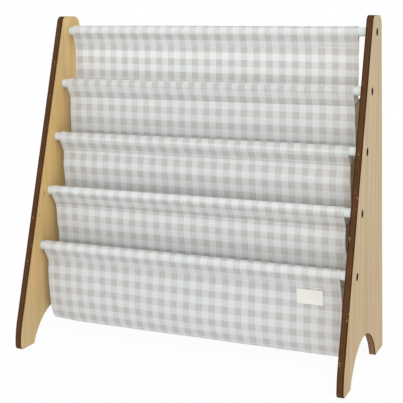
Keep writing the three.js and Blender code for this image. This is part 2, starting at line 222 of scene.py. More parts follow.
class Sling:
    """One pocket's cloth as a path in depth and height, with what hangs on it."""

    def __init__(self, number):
        self.rear_bar, self.front_bar = number, number + 1
        self.last = self.front_bar == LAST
        start = sleeve(self.rear_bar, FLAP_BEHIND)
        rear = bezier(hanging(self.rear_bar), np.linspace(0, 1, REAR_POINTS))
        if self.last:
            front = bezier(hanging(LAST), np.linspace(0, 1, FRONT_POINTS))
        else:
            curve = hanging(self.front_bar)
            height = curve[0][1] - curve[3][1]
            end = (POCKET - FRONT_RISE - SEAM_DROP) / height
            front = bezier(curve, np.linspace(0, end, FRONT_POINTS)) + (LAP, 0)
        turn = floor_turns(rear, front, BARS[self.front_bar][1] - POCKET)
        parts = [start, rear[1:], turn, front[::-1]]
        if self.last:
            parts.append(sleeve(LAST, LAST_FLAP_BEHIND)[::-1][1:])
        path = np.vstack(parts)
        step = np.linalg.norm(np.diff(path, axis=0), axis=1)
        along = np.concatenate([[0], np.cumsum(step)])
        counts = np.cumsum([len(p) for p in parts])
        self.seam = along[len(start) - 1]
        self.rear_end = along[counts[1] - 1]
        self.turn_end = along[counts[2]]
        self.front_seam = along[counts[3] - 1]
        self.length = along[-1]
        self.path, self.along = path, along
        way = np.gradient(path, along, axis=0)
        way /= np.linalg.norm(way, axis=1)[:, None]
        self.normal = np.stack([-way[:, 1], way[:, 0]], 1)

    def at(self, s):
        """The depth and height of the path at s along it, and its unit normal there."""
        y = np.interp(s, self.along, self.path[:, 0])
        z = np.interp(s, self.along, self.path[:, 1])
        ny = np.interp(s, self.along, self.normal[:, 0])
        nz = np.interp(s, self.along, self.normal[:, 1])
        size = np.hypot(ny, nz)
        return y, z, ny / size, nz / size

    def edge_slip(self, x, s, for_check):
        """How far the cloth near its edges lies off its lines, or what of it the check skips."""
        z = self.at(s)[1]
        passed = smooth(s, self.rear_end, self.turn_end)
        total = 0
        for bar, share in ((self.rear_bar, 1 - passed), (self.front_bar, passed)):
            left = np.interp(BARS[bar][1] - z, LEFT_DROPS, LEFT_OFF[bar])
            if for_check:
                left = left * (1 - CHECK_FOLLOWS[bar])
            total = total + share * left * hump(x, LEFT, LEFT_REACH)
            right = np.interp(BARS[bar][1] - z, RIGHT_DROPS, RIGHT_OFF[bar])
            total = total + share * right * hump(x, RIGHT, RIGHT_REACH)
        return total

    def surface(self, x, s, n):
        """The point at x across, s along and n off the middle of the cloth, outward."""
        x, s, n = np.broadcast_arrays(*(np.asarray(v, float) for v in (x, s, n)))
        y, z, ny, nz = self.at(s)
        passed = smooth(s, self.rear_end, self.turn_end)
        swing = (1 - passed) * hang_set(self.rear_bar, x, BARS[self.rear_bar][1] - z)
        swing += passed * hang_set(self.front_bar, x, BARS[self.front_bar][1] - z)
        ridge = sleeve_creases(self.rear_bar, x, self.seam - s)
        if self.last:
            ridge = ridge - sleeve_creases(LAST, x, s - self.front_seam)
        n = n - ridge
        edge_in = np.minimum(x - LEFT, RIGHT - x)
        pull = hump(edge_in, 0, EDGE_WAVE_REACH) * np.sign(x) * EDGE_WAVE
        sway = pull * waves(s, 303 + 7 * self.rear_bar, [150, 70, 38])
        sway = sway + self.edge_slip(x, s, False)
        if self.last:
            z = z - np.interp(x, SAG_AT, SAG) * smooth(BARS[LAST][1] - z, *SAG_DROPS)
        else:
            sway = sway + passed * POCKET_FLARE * hump(x, RIGHT, FLARE_REACH)
            corner = hump(x, RIGHT, CORNER_REACH) * smooth(s, self.length - CORNER_RUN, self.length)
            y, z = y + CORNER_BACK * corner, z + CORNER_LIFT * corner
        return np.stack([x + sway, y + swing + ny * n, z + nz * n], -1)

    def stations(self):
        """Rows along the path, closer together where the cloth shows or turns tightly."""
        seam, front = self.seam, self.front_seam
        # each stretch as the place where it ends and the widest step in it
        stretches = [(FLAP, 2.6), (seam - 30, 2.4), (seam - 4, 1.25), (seam, 0.8), (seam + 4, 0.8),
                     (seam + 90, 2.0), (self.rear_end, 4.2)]
        if self.last:
            stretches += [(self.rear_end + 30, 2.6), (self.turn_end, 2.0), (front - 4, 2.0),
                          (front, 0.8), (front + 4, 0.8), (front + 30, 1.25),
                          (self.length - FLAP, 2.4), (self.length, 2.6)]
        else:
            stretches += [(self.turn_end, 3.4), (front - 6, 4.0), (self.length, 2.0)]
        rows, low = [np.array([0.0])], 0
        for high, step in stretches:
            count = max(1, math.ceil((high - low) / step - 1e-6))
            rows.append(np.linspace(low, high, count + 1)[1:])
            low = high
        return np.concatenate(rows)


# Soft slanted buckles: (bar, across, drop, lean, half length, half width, depth)
BUCKLES = [
    (4, -196, 92, 0.55, 46, 8.0, -1.5),
    (4, -168, 84, 0.62, 50, 9.0, 1.9),
    (4, -138, 96, 0.50, 48, 9.0, -1.7),
    (4, -104, 108, 0.72, 34, 7.5, 1.1),
    (4, -232, 70, 0.30, 40, 8.0, 0.9),
    (4, -20, 118, 0.85, 30, 9.0, 0.8),
    (4, 148, 112, -0.35, 34, 10.0, -0.7),
    (4, 250, 96, -0.30, 40, 9.0, 1.2),
    (0, -262, 46, 0.55, 30, 7.0, 0.8),
    (0, 258, 52, -0.50, 30, 7.0, 0.8),
    (1, -256, 52, 0.60, 32, 7.0, 0.9),
    (1, 250, 50, -0.55, 30, 8.0, 0.8),
    (2, -258, 50, 0.60, 32, 7.0, 1.0),
    (2, 244, 56, -0.45, 34, 8.0, 0.9),
    (3, -250, 52, 0.55, 34, 8.0, 1.0),
    (3, 248, 54, -0.55, 30, 7.0, 0.9),
]


# Drops over which the lower set takes over
SET_BLEND = (55, 118)
# Waviness across and down the walls: depth, slant and wave lengths
ACROSS_WAVE = (0.55, 0.35, [96, 61, 43])
DOWN_WAVE = (0.22, 0.2, [58, 37])
# Puckers at the seam: depth, and reach above and below it
PUCKER, PUCKER_ABOVE, PUCKER_BELOW = 0.34, 8, 13
# The seam's groove and the swellings beside it: share, way below the seam and reach
GROOVE = 0.38
GROOVE_SHAPE = [(1, 0, 1.5), (-0.35, 4.2, 2.6), (-0.3, -3.6, 2.2)]


def hang_set(bar, x, drop):
    """How far the cloth under a bar stands back (+) or forward (-) of the plain curve."""
    upper = np.interp(x, ACROSS, gentle(UPPER_SET[bar]))
    lower = np.interp(x, ACROSS, gentle(LOWER_SET[bar]))
    low = smooth(drop, *SET_BLEND)
    swing = smooth(drop, SEAM_DROP + 1, SEAM_DROP + 30) * (upper * (1 - low) + lower * low)
    loose = smooth(drop, SEAM_DROP + 6, SEAM_DROP + 70)
    depth, slant, lengths = ACROSS_WAVE
    swing = swing + depth * loose * waves(x + slant * drop, 40 + bar, lengths)
    depth, slant, lengths = DOWN_WAVE
    swing = swing + depth * loose * waves(drop + slant * x, 60 + bar, lengths)
    for number, across, down, lean, half, wide, depth in BUCKLES:
        if number == bar:
            u = (drop - down) * math.cos(lean) + (x - across) * math.sin(lean)
            v = (x - across) * math.cos(lean) - (drop - down) * math.sin(lean)
            fade = smooth(drop, SEAM_DROP + 2, SEAM_DROP + 18)
            swing = swing + depth * fade * np.exp(-((v / wide) ** 2) - (u / half) ** 2)
    near = drop - SEAM_DROP
    pucker = hump(near, 0, np.where(near > 0, PUCKER_BELOW, PUCKER_ABOVE))
    swing = swing + PUCKER * pucker * waves(x, 80 + bar, [27, 17, 13], 0.9)
    groove = sum(share * hump(near, below, reach) for share, below, reach in GROOVE_SHAPE)
    return swing + GROOVE * groove


def gentle(values):
    """The set's values, eased so that their spline has no corners."""
    padded = np.concatenate([[values[0]], values, [values[-1]]])
    return 0.25 * padded[:-2] + 0.5 * padded[1:-1] + 0.25 * padded[2:]


# Creases along a sleeve: way above the seam and depth
CREASES = [(20.5, 0.16), (28.5, 0.26), (36.5, 0.3), (46.0, 0.22), (57.0, 0.2)]
CREASE_REACH, CREASE_DRIFT = 1.5, 1.6
# Slanted wrinkles over a sleeve
WRINKLE = 0.16
# How far the top bar's sleeve stands off its bar, at places across
LOFT_AT, LOFT = [-288, -100, 100, 279], [1.5, 1.5, 0.7, 0.1]


def sleeve_creases(bar, x, up):
    """Fine lengthwise creases pressed into a sleeve; up is the way above the seam."""
    total = np.zeros_like(x, float)
    local = np.random.default_rng(500 + bar)
    for height, depth in CREASES:
        drift = height + CREASE_DRIFT * waves(x, int(local.integers(1e6)), [210, 90])
        strength = 0.55 + 0.45 * waves(x, int(local.integers(1e6)), [160, 75, 40])
        total = total + depth * strength * hump(up, drift, CREASE_REACH)
    over_top = smooth(up, 8, 22) * (1 - smooth(up, 60, 72))
    wrinkles = waves(x + 0.4 * up, int(local.integers(1e6)), [34, 21, 14], 0.85)
    total = total + WRINKLE * over_top * wrinkles
    if bar == 0:
        loft = np.interp(x, LOFT_AT, LOFT)
        total = total + loft * smooth(up, 12, 27) * (1 - smooth(up, 50, 68))
    return total


# Cloth meshes
def hem_lift(inward):
    """How much a folded hem adds to the cloth's inner side, at ways in from its edge."""
    return CLOTH * (1 - smooth(inward, *HEM_STEP))


def hem_ridge(inward):
    """How far the hem's bulk pushes the cloth outward, at ways in from its edge."""
    return HEM_RIDGE * (1 - smooth(inward, HEM_STITCH, RIDGE_END))


def section(folded_right):
    """The cloth's cross-section as a closed loop: x, offset and cloth x."""
    near = np.array([CLOTH, 1.4, 3.0, 5.2, 7.4, HEM_STITCH, 10.0, *HEM_STEP, 11.3, 13.0])
    middle = np.linspace(LEFT + MIDDLE_INSET, RIGHT - MIDDLE_INSET, MIDDLE_POINTS)
    x = np.concatenate([LEFT + near, middle, (RIGHT - near)[::-1]])
    inward = np.minimum(x - LEFT, RIGHT - x)
    stitch_dip = STITCH_DIP * hump(inward, HEM_STITCH, 0.9)
    ridge = hem_ridge(inward)
    outer_n = CLOTH / 2 + ridge - stitch_dip
    inner_n = -CLOTH / 2 - hem_lift(inward) + ridge + stitch_dip
    mirrored = np.where(x < 0, 2 * LEFT - x, 2 * RIGHT - x)
    inner_x = np.where((inward < HEM) & (x > 0) & folded_right, mirrored, x)
    turns = np.radians([-60, -30, 0, 30, 60])
    centre = -CLOTH / 2 + HEM_RIDGE

    def arc(edge, side, upward):
        order = turns if upward else turns[::-1]
        past = -0.8 * CLOTH * np.sin(order)
        if not (folded_right and side > 0):
            past = -np.abs(past)
        return (edge - side * CLOTH * (1 - np.cos(order)), centre + CLOTH * np.sin(order),
                edge + side * past)

    right = arc(RIGHT, 1, False)
    left = arc(LEFT, -1, True)
    loop_x = np.concatenate([x, right[0], x[::-1], left[0]])
    loop_n = np.concatenate([outer_n, right[1], inner_n[::-1], left[1]])
    loop_u = np.concatenate([x, right[2], inner_x[::-1], left[2]])
    return x, loop_x, loop_n, loop_u


def make_mesh(name, vertices, faces, uv=None):
    mesh = bpy.data.meshes.new(name)
    vertices = np.asarray(vertices, np.float32) / 1000
    mesh.vertices.add(len(vertices))
    mesh.vertices.foreach_set("co", vertices.ravel())
    sizes = np.array([len(face) for face in faces])
    corners = np.concatenate([np.asarray(face) for face in faces])
    mesh.loops.add(len(corners))
    mesh.loops.foreach_set("vertex_index", corners.astype(np.int32))
    mesh.polygons.add(len(sizes))
    starts = np.concatenate([[0], np.cumsum(sizes)[:-1]])
    mesh.polygons.foreach_set("loop_start", starts.astype(np.int32))
    mesh.polygons.foreach_set("use_smooth", np.full(len(sizes), True))
    if uv is not None:
        layer = mesh.uv_layers.new(name="checks")
        layer.data.foreach_set("uv", np.asarray(uv, np.float32).ravel())
    mesh.update(calc_edges=True)
    mesh.validate()
    obj = bpy.data.objects.new(name, mesh)
    bpy.context.scene.collection.objects.link(obj)
    return obj


def phase(terms, x):
    """A phase across the cloth, from its value at the middle, its slope and any bow."""
    bow = terms[2] * (1 - (x / BOW_HALF) ** 2) if len(terms) > 2 else 0
    return terms[0] + terms[1] * x + bow


def columns_at(bar, x, below):
    """The dark columns' phase at a way below one bar's seam."""
    upper = phase(UPPER_COLUMN[bar], x)
    lower = phase(LOWER_COLUMN[bar], x)
    low = smooth(below, *LOW_BLEND)
    added = upper * (1 - low) + lower * low
    return phase(SLEEVE_COLUMN[bar], x) + smooth(below, *WALL_BLEND) * added


def check_uv(sling, x, s, zone):
    """Cloth coordinates in checks: whole numbers lie at dark centres. zone is -1, 0 or 1."""
    rear, front = sling.rear_bar, sling.front_bar
    w = s - sling.seam
    x = x + sling.edge_slip(x, s, True)
    column = columns_at(rear, x, w)
    v = (w - phase(WALL_ROW[rear], x)) / WALL_PITCH[rear]
    if sling.last:
        passed = smooth(s, sling.rear_end - CHANGE_BEFORE, sling.rear_end + CHANGE_AFTER)
        below = sling.front_seam - s
        target = columns_at(front, x, below) + COLUMN
        column = column * (1 - passed) + target * passed
        sagged = below + np.interp(x, SAG_AT, SAG) * smooth(below, *SAG_WAYS)
        front_v = -(sagged - phase(WALL_ROW[front], x)) / WALL_PITCH[front]
        rear_rows = (sling.rear_end - sling.seam - WALL_ROW[rear][0]) / WALL_PITCH[rear]
        front_rows = (sling.front_seam - sling.rear_end - WALL_ROW[front][0]) / WALL_PITCH[front]
        v = v * (1 - passed) + (front_v + round(rear_rows + front_rows)) * passed
    u = (x - column) / COLUMN
    v = np.where(zone < 0, (w - phase(SLEEVE_ROW[rear], x)) / SLEEVE_PITCH, v)
    if sling.last:
        over = -((sling.front_seam - s) - phase(SLEEVE_ROW[front], x)) / SLEEVE_PITCH
        v = np.where(zone > 0, over, v)
    return u, v


def cloth_mesh(sling, name):
    """One sling's cloth: its section swept along the rows of its path, and closed at both ends."""
    base_x, loop_x, loop_n, loop_u = section(sling.rear_bar == 0)
    rows = sling.stations()
    count, ring = len(rows), len(loop_x)
    points = sling.surface(loop_x[None, :], rows[:, None], loop_n[None, :])
    vertices = points.reshape(-1, 3)
    r, c = np.meshgrid(np.arange(count - 1), np.arange(ring), indexing="ij")
    nxt = (c + 1) % ring
    quads = np.stack([r * ring + c, (r + 1) * ring + c, (r + 1) * ring + nxt, r * ring + nxt], -1)
    corner_row = np.stack([r, r + 1, r + 1, r], -1)
    corner_x = np.stack([loop_u[c], loop_u[c], loop_u[nxt], loop_u[nxt]], -1)
    # where the cloth x jumps at a hem's rim, both corners take the outer one
    jump = np.abs(loop_u[nxt] - loop_u[c]) > 12
    outer = np.where(np.abs(loop_u[c]) > np.abs(loop_u[nxt]), loop_u[c], loop_u[nxt])
    corner_x = np.where(jump[..., None], outer[..., None], corner_x)
    middle = (rows[r] + rows[r + 1]) / 2
    zone = np.where(middle < sling.seam, -1, 0)
    if sling.last:
        zone = np.where(middle > sling.front_seam, 1, zone)
    u, v = check_uv(sling, corner_x, rows[corner_row], zone[..., None])
    uv = np.stack([u, v], -1).reshape(-1, 2)
    quads = quads.reshape(-1, 4)
    # both ends of the path are closed by faces from the loop's outer side to its inner side,
    # each of which runs from the middle of one rounded edge to the middle of the other
    half = len(base_x)
    outer_side = [k % ring for k in range(-3, half + 3)]
    inner_side = list(range(ring - 3, half + 1, -1))
    ends, end_uv = [], []
    for row, end_zone, order in ((0, -1, 1), (count - 1, int(sling.last), -1)):
        for j in range(len(outer_side) - 1):
            face = [outer_side[j], outer_side[j + 1], inner_side[j + 1], inner_side[j]]
            face = list(dict.fromkeys(face[::order]))
            ends.append([row * ring + corner for corner in face])
            for corner in face:
                end_uv.append(check_uv(sling, loop_u[corner], rows[row], end_zone))
    uv = np.vstack([uv, np.array(end_uv, float)])
    return make_mesh(name, vertices, list(quads) + ends, uv)


# A stitch: sides round it, how deep its ends sink in and how far its middle stands out, mm
THREAD_SIDES, THREAD_SINK, THREAD_LIFT = 5, 0.12, 0.07
# Where a row's first stitch starts, and how far stitches stray along and across their row
FIRST_STITCH, STITCH_SLACK, STITCH_WANDER = 0.6, 0.12, 0.05


def thread_line(points, normals, length=2.5, gap=0.75, radius=0.19, seed=0):
    """Sewn stitches along a line on a surface: vertices and faces of small rounded capsules."""
    local = np.random.default_rng(seed)
    step = np.linalg.norm(np.diff(points, axis=0), axis=1)
    along = np.concatenate([[0], np.cumsum(step)])
    starts = np.arange(FIRST_STITCH, along[-1] - length, length + gap)
    starts = starts + local.uniform(-STITCH_SLACK, STITCH_SLACK, len(starts))

    def pick(values, s):
        return np.stack([np.interp(s, along, values[:, i]) for i in range(3)], -1)

    verts, faces = [], []
    sides = np.radians(np.arange(THREAD_SIDES) * 360 / THREAD_SIDES + 18)
    for s in starts:
        a, b = pick(points, s), pick(points, s + length)
        normal = pick(normals, s + length / 2)
        normal /= np.linalg.norm(normal)
        way = (b - a) / np.linalg.norm(b - a)
        across = np.cross(way, normal)
        a = a + across * local.normal(0, STITCH_WANDER)
        start = len(verts)
        verts.append(a - normal * THREAD_SINK)
        for share in (0.2, 0.8):
            centre = a + (b - a) * share + normal * THREAD_LIFT
            for turn in sides:
                verts.append(centre + radius * (math.cos(turn) * across + math.sin(turn) * normal))
        verts.append(b - normal * THREAD_SINK)
        one, two, end = start + 1, start + 1 + THREAD_SIDES, start + 1 + 2 * THREAD_SIDES
        for i in range(THREAD_SIDES):
            j = (i + 1) % THREAD_SIDES
            faces.append([start, one + j, one + i])
            faces.append([one + i, one + j, two + j, two + i])
            faces.append([end, two + i, two + j])
    return verts, faces


def add_stitches(verts, faces, sling, x, s, n, **stitch):
    """Adds one line of stitches at n off the middle of a sling's cloth."""
    points = sling.surface(x, s, n)
    off = sling.surface(x, s, n + np.where(np.asarray(n) < 0, -1, 1))
    more_verts, more_faces = thread_line(points, off - points, **stitch)
    start = len(verts)
    verts.extend(more_verts)
    faces.extend([[start + i for i in face] for face in more_faces])


def sling_threads(sling, name):
    """Every stitch of one sling: its seams on the side that shows, and its hems on both."""
    verts, faces = [], []

    def sew(x, s, n, seed):
        add_stitches(verts, faces, sling, x, s, n, seed=seed)

    across = np.linspace(LEFT + 1.5, RIGHT - 1.5, 420)
    inward = np.minimum(across - LEFT, RIGHT - across)
    outer_face = CLOTH / 2 + hem_ridge(inward)
    inner_face = -CLOTH / 2 - hem_lift(inward) + hem_ridge(inward)
    off_seam = 0.4
    seed = 900 + 10 * sling.rear_bar
    sew(across, sling.seam + off_seam, inner_face, seed)
    sew(across, FLAP - off_seam, inner_face, seed + 1)
    if sling.last:
        sew(across, sling.front_seam - off_seam, outer_face, seed + 2)
        sew(across, sling.length - FLAP + off_seam, outer_face, seed + 3)
    rows = np.linspace(1.0, sling.length - 1.0, 900)
    for edge, side in ((LEFT, 1), (RIGHT, -1)):
        x = np.full_like(rows, edge + side * HEM_STITCH)
        sew(x, rows, np.full_like(rows, CLOTH / 2 + HEM_RIDGE - STITCH_DIP), seed + 4 + side)
        sew(x, rows, np.full_like(rows, -1.5 * CLOTH + HEM_RIDGE + STITCH_DIP), seed + 7 + side)
    return make_mesh(name, verts, faces)


# Materials
class Paint:
    """A small helper for node materials."""

    def __init__(self, name):
        self.material = bpy.data.materials.new(name)
        self.material.use_nodes = True
        self.tree = self.material.node_tree
        self.tree.nodes.clear()
        self.output = self.tree.nodes.new("ShaderNodeOutputMaterial")

    def node(self, kind, links=None, **settings):
        made = self.tree.nodes.new("ShaderNode" + kind)
        for key, value in settings.items():
            setattr(made, key, value)
        for key, value in (links or {}).items():
            self.put(made.inputs[key], value)
        return made

    def put(self, socket, value):
        if isinstance(value, bpy.types.NodeSocket):
            self.tree.links.new(value, socket)
        else:
            socket.default_value = value

    def math(self, operation, a, b=0.0, clamp=False):
        return self.node("Math", {0: a, 1: b}, operation=operation, use_clamp=clamp).outputs[0]

    def vector(self, operation, a, b):
        return self.node("VectorMath", {0: a, 1: b}, operation=operation).outputs[0]

    def length(self, vector):
        return self.node("VectorMath", {0: vector}, operation="LENGTH").outputs[1]

    def separate(self, vector):
        return self.node("SeparateXYZ", {0: vector}).outputs

    def rest(self, share):
        return self.math("SUBTRACT", 1.0, share)

    def threads(self, coordinate, count):
        """A wave along a cloth coordinate, with one half wave for each thread."""
        return self.math("SINE", self.math("MULTIPLY", coordinate, count * math.pi))

    def mix(self, share, a, b, blend="MIX"):
        made = self.node("Mix", data_type="RGBA", blend_type=blend, clamp_factor=True)
        self.put(made.inputs[0], share)
        self.put(made.inputs[6], a)
        self.put(made.inputs[7], b)
        return made.outputs[2]

    def span(self, value, low, high, to_low=0.0, to_high=1.0, kind="SMOOTHSTEP"):
        return self.node("MapRange", {0: value, 1: low, 2: high, 3: to_low, 4: to_high},
                         interpolation_type=kind).outputs[0]

    def noise(self, vector, scale, detail=2.0, rough=0.5, distortion=0.0):
        links = {"Vector": vector, "Scale": scale, "Detail": detail, "Roughness": rough,
                 "Distortion": distortion}
        return self.node("TexNoise", links).outputs[0]

    def stretched(self, vector, size):
        return self.node("Mapping", {"Vector": vector, "Scale": size}).outputs[0]

    def object_space(self):
        return self.node("TexCoord").outputs["Object"]

    def bump(self, height, strength, distance, normal=None):
        links = {"Height": height, "Strength": strength, "Distance": distance}
        if normal is not None:
            links["Normal"] = normal
        return self.node("Bump", links).outputs[0]

    def finish(self, shader):
        self.tree.links.new(shader, self.output.inputs[0])
        return self.material


PLAIN = (1, 1, 1, 1)
# A pair of colours holds the two ends of a drift
WHITE_YARN = [(0.812, 0.840, 0.836, 1), (0.836, 0.860, 0.862, 1)]
DYED_YARN = [(0.632, 0.610, 0.588, 1), (0.662, 0.640, 0.620, 1)]
# The lowest pocket's painted shade, a slight greying, and the heights in metres over which it ends
LOW_SHADE, LOW_SHADE_END = (0.940, 0.940, 0.946, 1), (0.16, 0.20)
# Painted shade on the right edge of the upper pockets' front walls, dark brown like the shaded gap beside
# the panel: its colours and their heights, then where it starts across, in rows and up
EDGE_SHADE, EDGE_SHADE_DRIFT = [(0.20, 0.160, 0.125, 1), (0.40, 0.33, 0.23, 1)], (0.26, 0.44)
EDGE_SHADE_ACROSS, EDGE_SHADE_ROWS, EDGE_SHADE_UP = (0.2755, 0.2775), (8.8, 9.2), (0.205, 0.215)
# Threads in one repeat of the check, and how far from a dark centre it turns from dark to light
CHECK_THREADS = 42
CHECK_LINE = (0.238, 0.262)


def gingham_paint():
    """A plain-weave check in white and dyed yarn; whole numbers of u and v lie at dark centres."""
    p = Paint("gingham_cloth")
    uv = p.node("UVMap", uv_map="checks").outputs[0]
    u, v, _ = p.separate(uv)
    place = p.object_space()
    across, _, height = p.separate(place)
    wander = p.noise(p.stretched(place, (260, 260, 260)), 1.0, 2)
    shift = p.math("MULTIPLY", p.math("SUBTRACT", wander, 0.5), 0.02)
    columns = p.span(p.math("PINGPONG", p.math("ADD", u, shift), 0.5), *CHECK_LINE, 1.0, 0.0)
    rows = p.span(p.math("PINGPONG", p.math("ADD", v, shift), 0.5), *CHECK_LINE, 1.0, 0.0)
    # plain weave: at each crossing either the lengthwise or the crosswise thread is on top
    su, sv = p.threads(u, CHECK_THREADS), p.threads(v, CHECK_THREADS)
    over = p.span(p.math("MULTIPLY", su, sv), -0.25, 0.25)
    mixed = p.math("ADD", p.math("MULTIPLY", columns, over), p.math("MULTIPLY", rows, p.rest(over)))
    tone = p.math("ADD", p.math("MULTIPLY", mixed, 0.8),
                  p.math("MULTIPLY", p.math("MULTIPLY", columns, rows), 0.2))
    slub_a = p.noise(p.stretched(uv, (420, 9, 1)), 1.0, 3, 0.6)
    slub_b = p.noise(p.stretched(uv, (9, 420, 1)), 1.0, 3, 0.6)
    slub = p.math("ADD", slub_a, slub_b)
    tone = p.math("ADD", tone, p.math("MULTIPLY", p.math("SUBTRACT", slub, 1.0), 0.16), clamp=True)
    cloudy = p.noise(p.stretched(place, (9, 9, 9)), 1.0, 3)
    colour = p.mix(tone, p.mix(cloudy, *WHITE_YARN), p.mix(cloudy, *DYED_YARN))
    # painted shade: the lowest pocket is a little greyer
    low = p.mix(p.span(height, *LOW_SHADE_END), LOW_SHADE, PLAIN)
    colour = p.mix(1.0, colour, low, "MULTIPLY")
    # painted shade: the right edge of the upper pockets' front walls is tinted dark brown, like the
    # shaded gap beside the right panel
    brown = p.mix(p.span(height, *EDGE_SHADE_DRIFT), *EDGE_SHADE)
    shade_at_edge = p.math("MULTIPLY", p.span(across, *EDGE_SHADE_ACROSS), p.span(v, *EDGE_SHADE_ROWS))
    shade_at_edge = p.math("MULTIPLY", shade_at_edge, p.span(height, *EDGE_SHADE_UP))
    colour = p.mix(1.0, colour, p.mix(shade_at_edge, PLAIN, brown), "MULTIPLY")
    crown = p.math("MULTIPLY", p.math("ABSOLUTE", su), p.math("ABSOLUTE", sv))
    fuzz = p.noise(p.stretched(place, (1500, 1500, 1500)), 1.0, 3, 0.65)
    bumped = p.bump(p.math("ADD", crown, p.math("MULTIPLY", fuzz, 0.5)), 0.5, 0.00012)
    crumple = p.noise(p.stretched(place, (120, 120, 90)), 1.0, 4, 0.55, 0.6)
    bumped = p.bump(crumple, 0.3, 0.0008, bumped)
    rough = p.span(fuzz, 0.3, 0.7, 0.82, 0.94)
    cloth = p.node("BsdfPrincipled", {"Base Color": colour, "Roughness": rough, "Normal": bumped,
                                      "Sheen Weight": 0.12, "Sheen Roughness": 0.5,
                                      "Specular IOR Level": 0.25})
    through = p.node("BsdfTranslucent", {"Color": colour, "Normal": bumped})
    shader = p.node("MixShader", {0: 0.35, 1: cloth.outputs[0], 2: through.outputs[0]})
    return p.finish(shader.outputs[0])


THREAD = [(0.80, 0.79, 0.75, 1), (0.90, 0.89, 0.86, 1)]


def thread_paint():
    """Pale sewing thread with a fine twist."""
    p = Paint("sewing_thread")
    place = p.object_space()
    twist = p.noise(p.stretched(place, (1800, 1800, 1800)), 1.0, 2)
    colour = p.mix(twist, *THREAD)
    bumped = p.bump(twist, 0.4, 0.0001)
    shader = p.node("BsdfPrincipled", {"Base Color": colour, "Roughness": 0.6, "Normal": bumped,
                                       "Sheen Weight": 0.1})
    return p.finish(shader.outputs[0])


LABEL_THREADS = 60
LABEL_COTTON = [(0.665, 0.668, 0.612, 1), (0.705, 0.708, 0.655, 1)]
LABEL_SLUB = (0.53, 0.52, 0.45, 1)


def label_paint():
    """Bare cream cotton in a fine plain weave."""
    p = Paint("label_cotton")
    uv = p.node("UVMap", uv_map="checks").outputs[0]
    u, v, _ = p.separate(uv)
    su, sv = p.threads(u, LABEL_THREADS), p.threads(v, LABEL_THREADS)
    crown = p.math("MULTIPLY", p.math("ABSOLUTE", su), p.math("ABSOLUTE", sv))
    place = p.object_space()
    cloudy = p.noise(p.stretched(place, (160, 160, 160)), 1.0, 3)
    slub = p.noise(p.stretched(uv, (300, 10, 1)), 1.0, 3, 0.6)
    colour = p.mix(cloudy, *LABEL_COTTON)
    colour = p.mix(p.math("MULTIPLY", slub, 0.18), colour, LABEL_SLUB)
    bumped = p.bump(crown, 0.5, 0.0001)
    shader = p.node("BsdfPrincipled", {"Base Color": colour, "Roughness": 0.85, "Normal": bumped,
                                       "Sheen Weight": 0.1})
    return p.finish(shader.outputs[0])


# Birch veneer in light and dark streaks; each pair holds the inner face's colour, then the outer face's.
# The inner faces' colours are more yellow and saturated: painted warm bounce light in their shade
LIGHT_BIRCH = [(0.640, 0.457, 0.212, 1), (0.500, 0.382, 0.220, 1)]
DARK_BIRCH = [(0.518, 0.335, 0.125, 1), (0.425, 0.302, 0.154, 1)]
FIBRE, PORE, KNOT = (0.44, 0.28, 0.11, 1), (0.34, 0.20, 0.08, 1), (0.27, 0.135, 0.045, 1)
# Knots: depth and height in metres, and relative size
KNOTS = [(-0.0600, 0.2780, 1.1), (-0.0758, 0.2390, 0.6)]
# The cut edge: scorch, the plies in it, its paler arch, its borders and chips; and the bores' rims,
# scorch with painted shade of their recesses
SCORCH = [(0.046, 0.019, 0.008, 1), (0.098, 0.044, 0.019, 1)]
PLY_LINE, ARCH_SCORCH = (0.132, 0.066, 0.030, 1), (0.25, 0.150, 0.085, 1)
BORDER, CHIP, BORE_SCORCH_AND_SHADE = (0.026, 0.010, 0.003, 1), (0.34, 0.22, 0.10, 1), (0.045, 0.022, 0.010, 1)
# The way from one ply line to the next, in metres
PLY_PITCH = 0.0034


def cut_edge(p, place, inside):
    """The colour of the board's cut edge: scorched brown, with faint plies and darker borders."""
    _, depth, height = p.separate(place)
    ply = p.math("PINGPONG", p.math("MULTIPLY", inside, 1 / PLY_PITCH), 0.5)
    border = p.span(p.math("ABSOLUTE", inside), 0.0036, 0.0050)
    scorch = p.noise(p.stretched(place, (60, 70, 24)), 1.0, 4, 0.6)
    edge = p.mix(scorch, *SCORCH)
    edge = p.mix(p.span(ply, 0.1, 0.4, 0.0, 0.3), edge, PLY_LINE)
    arch = p.math("MULTIPLY", p.span(depth, 0.0, 0.05), p.span(height, 0.062, 0.078, 1.0, 0.0))
    edge = p.mix(p.math("MULTIPLY", arch, 0.7), edge, ARCH_SCORCH)
    edge = p.mix(p.math("MULTIPLY", border, 0.85), edge, BORDER)
    chips = p.noise(p.stretched(place, (190, 150, 110)), 1.0, 2, 0.5)
    return p.mix(p.span(chips, 0.68, 0.73, 0.0, 0.6), edge, CHIP)


def add_knots(p, veneer, place, bent, inward):
    """Small knots in the inner faces, each a dark fleck drawn out along the grain."""
    for depth, height, size in KNOTS:
        off = p.vector("SUBTRACT", bent, (0, depth, height))
        ring = p.noise(p.stretched(place, (200, 260, 260)), 1.0, 3, 0.6, 1.5)
        reach = p.length(p.stretched(off, (0, 1.0, 0.55)))
        reach = p.math("ADD", reach, p.math("MULTIPLY", p.math("SUBTRACT", ring, 0.5), 0.007))
        fleck = p.span(reach, 0.0006 * size, 0.0042 * size, 0.62, 0.0)
        veneer = p.mix(p.math("MULTIPLY", fleck, inward), veneer, KNOT)
    return veneer


